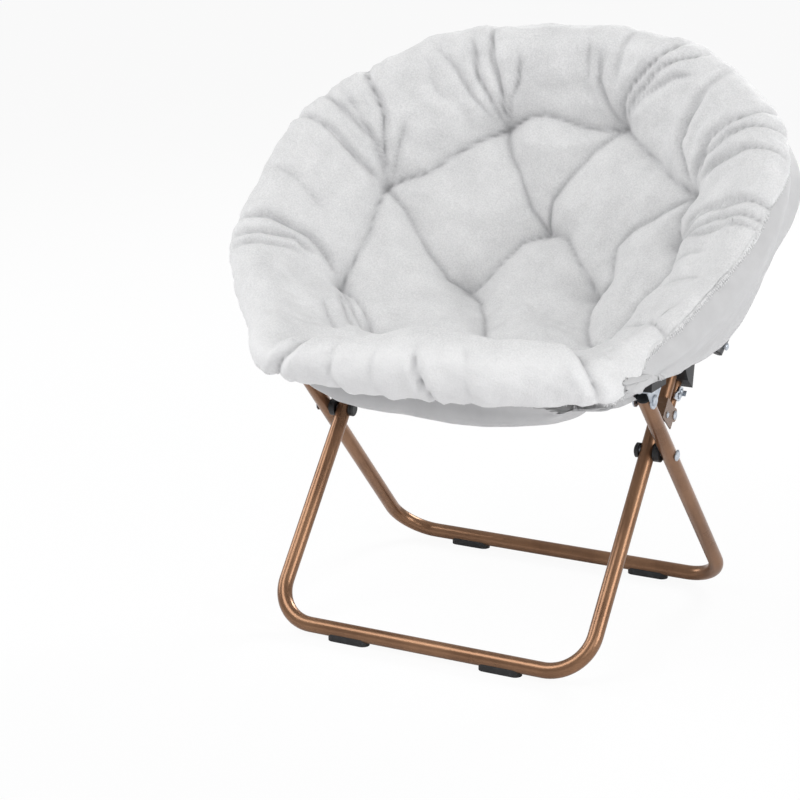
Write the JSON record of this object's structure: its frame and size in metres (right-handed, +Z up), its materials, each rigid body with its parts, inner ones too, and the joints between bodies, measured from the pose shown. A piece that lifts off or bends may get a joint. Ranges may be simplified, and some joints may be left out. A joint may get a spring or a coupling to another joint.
{
  "type": "folding saucer chair",
  "caption": "Folding saucer chair: crossed tube legs carry a level seat hoop with a hinged back hoop and one quilted plush saucer pad.",
  "frame": {"origin": "on the floor, under the middle of the chair's bounding box", "axes": "+X across the chair to the sitter's left seen from the front, the seat faces -Y, +Z up from the floor"},
  "size_m": [0.8558, 0.6027, 0.8359],
  "materials": {
    "bronze_paint": "satin metallic",
    "bracket_paint": "satin",
    "hoop_paint": "satin",
    "zinc": "zinc plated",
    "black_plastic": "matte",
    "plush": "short pile plush",
    "backing_cloth": "smooth woven"
  },
  "bodies": {
    "inner_legs": {"inner_leg_frame": "bronze_paint", "inner_leg_plugs": "black_plastic", "front_feet": "black_plastic", "leg_spacers": "black_plastic", "pivot_rivets": "zinc", "pivot_caps": "black_plastic", "lock_brackets": "bracket_paint", "bracket_rivets": "zinc"},
    "outer_legs": {"outer_leg_frame": "bronze_paint", "outer_leg_caps": "black_plastic", "rear_feet": "black_plastic"},
    "seat_hoop": {"seat_rail_tube": "hoop_paint", "seat_rail_plugs": "black_plastic", "seat_brackets": "zinc", "seat_saddles": "black_plastic", "saddle_screws": "zinc", "seat_rivets": "zinc", "seat_sleeve": "backing_cloth", "seat_cushion": "plush", "seat_backing": "backing_cloth"},
    "back_hoop": {"back_hoop_sides": "hoop_paint", "back_hoop_top": "hoop_paint", "hoop_ferrules": "zinc", "back_hoop_plugs": "black_plastic", "hinge_washers": "black_plastic", "hinge_rivets": "zinc", "back_sleeve": "backing_cloth", "back_cushion": "plush", "back_backing": "backing_cloth", "gusset_cushion": "plush", "gusset_backing": "backing_cloth"},
    "lock_arms": {"lock_arm_tubes": "bronze_paint", "lock_bushes": "black_plastic", "lock_arm_rivets": "zinc", "lock_heads": "black_plastic", "latch_rivets": "zinc"},
    "latch_plate_left": {"latch_left": "zinc"},
    "latch_plate_right": {"latch_right": "zinc"}
  },
  "joints": [
    {"name": "leg_fold", "type": "hinge", "parent": "inner_legs", "child": "outer_legs", "pos_m": [0, -0.0254, 0.276], "axis": [1, 0, 0], "range_deg": [-55, 0]},
    {"name": "seat_tilt", "type": "hinge", "parent": "outer_legs", "child": "seat_hoop", "pos_m": [0, -0.12279, 0.37796], "axis": [1, 0, 0], "range_deg": [0, 5.5]},
    {"name": "lock_arm_fold", "type": "hinge", "parent": "inner_legs", "child": "lock_arms", "pos_m": [0, 0.03945, 0.31373], "axis": [1, 0, 0], "range_deg": [-86.9, 0]},
    {"name": "back_fold", "type": "hinge", "parent": "seat_hoop", "child": "back_hoop", "pos_m": [0, 0.0666, 0.41396], "axis": [1, 0, 0], "range_deg": [0, 80], "deforming": ["gusset_cushion", "gusset_backing"]},
    {"name": "latch_left_press", "type": "hinge", "parent": "lock_arms", "child": "latch_plate_left", "pos_m": [-0.252, 0.05822, 0.33713], "axis": [1, 0, 0], "range_deg": [-18, 0], "stiffness_Nm_per_rad": 0.05, "springref_deg": 17.19},
    {"name": "latch_right_press", "type": "hinge", "parent": "lock_arms", "child": "latch_plate_right", "pos_m": [0.252, 0.05822, 0.33713], "axis": [1, 0, 0], "range_deg": [-18, 0], "stiffness_Nm_per_rad": 0.05, "springref_deg": 17.19}
  ],
  "couplings": [
    {"joint": "seat_tilt", "follows": "leg_fold", "ratio": -0.1},
    {"joint": "lock_arm_fold", "follows": "leg_fold", "ratio": 1.58}
  ]
}
